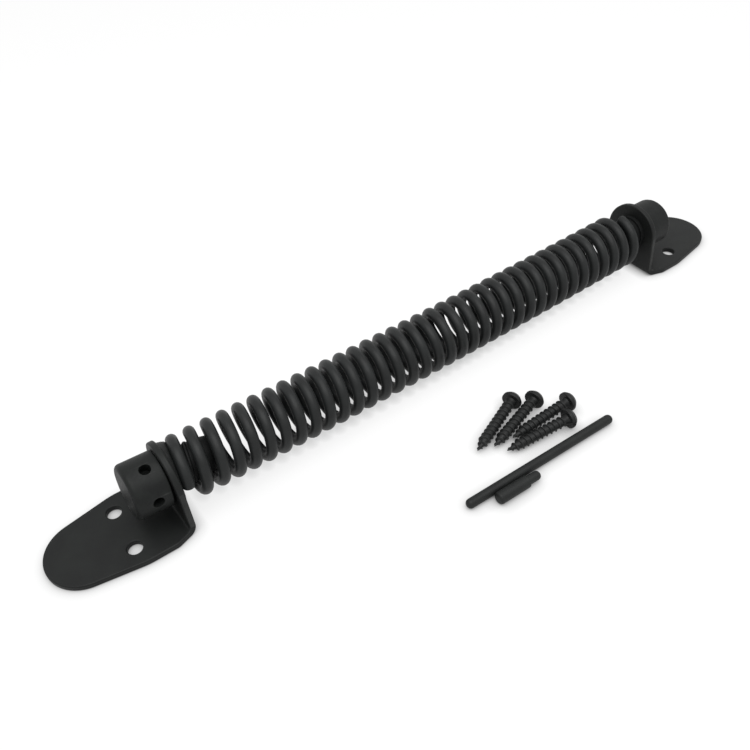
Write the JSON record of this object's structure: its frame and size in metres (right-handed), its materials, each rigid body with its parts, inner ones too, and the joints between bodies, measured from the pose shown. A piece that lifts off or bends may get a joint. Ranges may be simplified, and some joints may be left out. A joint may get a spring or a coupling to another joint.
{
  "type": "gate spring closer",
  "caption": "Torsion spring gate closer: a wire coil between a post bracket and a gate bracket, with a winding head, winding bar, lock pin and wood screws.",
  "frame": {"origin": "midway between the two screw holes of the post bracket, on the back of its leaf", "axes": "+X along the spring from the post bracket to the gate bracket, +Z away from the post"},
  "size_m": [0.3736, 0.0999, 0.0342],
  "materials": {
    "bracket_coat": "satin black powder coat",
    "head_coat": "satin black coat over a casting",
    "hub_coat": "satin black coat over a casting",
    "spring_coat": "satin black powder coat on wire",
    "bar_coat": "black oxide",
    "screw_coat": "black coated"
  },
  "bodies": {
    "adjusting_bracket": {"adjusting_bracket": "bracket_coat"},
    "adjuster": {"winding_head": "head_coat", "adjuster_hub": "hub_coat", "spring": "spring_coat"},
    "gate_bracket": {"gate_bracket": "bracket_coat", "fixed_head": "head_coat", "gate_hub": "hub_coat"},
    "tension_rod": {"tension_rod": "bar_coat"},
    "lock_pin": {"lock_pin": "bar_coat"},
    "screw_1": {"screw_1": "screw_coat"},
    "screw_2": {"screw_2": "screw_coat"},
    "screw_3": {"screw_3": "screw_coat"},
    "screw_4": {"screw_4": "screw_coat"}
  },
  "joints": [
    {"name": "tension_adjust", "type": "hinge", "parent": "adjusting_bracket", "child": "adjuster", "pos_m": [0.022, 0, 0.0198], "axis": [1, 0, 0], "range_deg": [0, 180]},
    {"name": "gate_swing", "type": "hinge", "parent": "adjuster", "child": "gate_bracket", "pos_m": [0.2866, 0, 0.0198], "axis": [-1, 0, 0], "range_deg": [0, 110], "stiffness_Nm_per_rad": 2.3},
    {"name": "tension_rod_lift", "type": "slide", "parent": "adjusting_bracket", "child": "tension_rod", "axis": [0, 0, 1], "range_m": [0, 0.1]},
    {"name": "lock_pin_lift", "type": "slide", "parent": "adjusting_bracket", "child": "lock_pin", "axis": [0, 0, 1], "range_m": [0, 0.1]},
    {"name": "screw_1_lift", "type": "slide", "parent": "adjusting_bracket", "child": "screw_1", "axis": [0, 0, 1], "range_m": [0, 0.1]},
    {"name": "screw_2_lift", "type": "slide", "parent": "adjusting_bracket", "child": "screw_2", "axis": [0, 0, 1], "range_m": [0, 0.1]},
    {"name": "screw_3_lift", "type": "slide", "parent": "adjusting_bracket", "child": "screw_3", "axis": [0, 0, 1], "range_m": [0, 0.1]},
    {"name": "screw_4_lift", "type": "slide", "parent": "adjusting_bracket", "child": "screw_4", "axis": [0, 0, 1], "range_m": [0, 0.1]}
  ]
}
